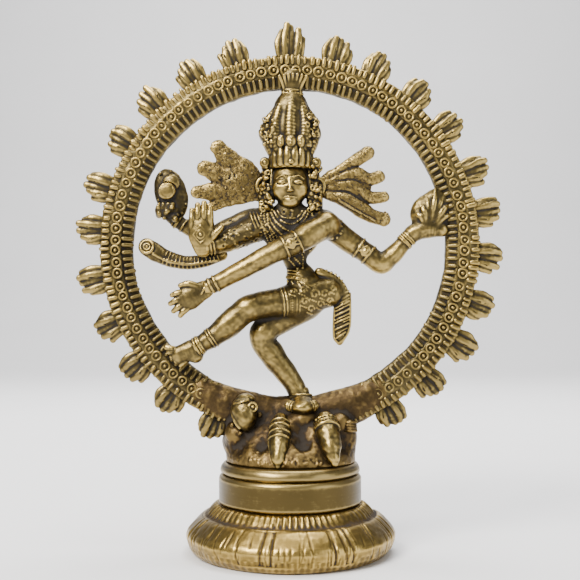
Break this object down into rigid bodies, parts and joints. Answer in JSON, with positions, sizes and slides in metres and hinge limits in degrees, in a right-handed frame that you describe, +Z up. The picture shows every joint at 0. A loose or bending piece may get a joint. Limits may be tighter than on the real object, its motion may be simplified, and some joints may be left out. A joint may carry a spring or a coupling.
{
  "type": "statue",
  "caption": "Cast brass statue of a four-armed dancer in a flaming hoop, standing on a mound over a hollow turned pedestal.",
  "frame": {"origin": "on the ground, under the middle of the pedestal", "axes": "+Z up, -Y the way the statue faces, +X to the viewer's right"},
  "size_m": [0.1165, 0.0562, 0.1442],
  "materials": {
    "cast_brass": "aged casting, dark in the hollows and rubbed pale on the high points",
    "turned_brass": "turned satin with fine rings and light tarnish",
    "fixing_steel": "dull zinc-plated steel"
  },
  "bodies": {
    "root": {"foot_skirt": "cast_brass", "drum_collar": "turned_brass", "cap_plate": "turned_brass", "fixing_washer": "fixing_steel", "fixing_screw": "fixing_steel", "rock_mound": "cast_brass", "ring_hoop": "cast_brass", "ring_crest": "cast_brass", "torso": "cast_brass", "head": "cast_brass", "crown": "cast_brass", "ear_ornament_left": "cast_brass", "ear_ornament_right": "cast_brass", "hair_fan_left": "cast_brass", "hair_fan_right": "cast_brass", "hip_cloth": "cast_brass", "leg_raised": "cast_brass", "foot_raised": "cast_brass", "leg_standing": "cast_brass", "foot_standing": "cast_brass", "sash_tail": "cast_brass", "arm_reaching": "cast_brass", "hand_reaching": "cast_brass", "arm_blessing": "cast_brass", "hand_blessing": "cast_brass", "cobra_sleeve": "cast_brass", "arm_drum": "cast_brass", "hand_drum": "cast_brass", "arm_flame": "cast_brass", "hand_flame": "cast_brass", "dwarf_head": "cast_brass", "dwarf_forearm": "cast_brass", "dwarf_leg": "cast_brass", "dwarf_foot": "cast_brass", "flame_01": "cast_brass", "flame_02": "cast_brass", "flame_03": "cast_brass", "flame_04": "cast_brass", "flame_05": "cast_brass", "flame_06": "cast_brass", "flame_07": "cast_brass", "flame_08": "cast_brass", "flame_09": "cast_brass", "flame_10": "cast_brass", "flame_11": "cast_brass", "flame_12": "cast_brass", "flame_13": "cast_brass", "flame_14": "cast_brass", "flame_15": "cast_brass", "flame_16": "cast_brass", "flame_17": "cast_brass", "flame_18": "cast_brass", "flame_19": "cast_brass", "flame_20": "cast_brass", "flame_21": "cast_brass", "flame_22": "cast_brass", "flame_23": "cast_brass"}
  },
  "joints": []
}
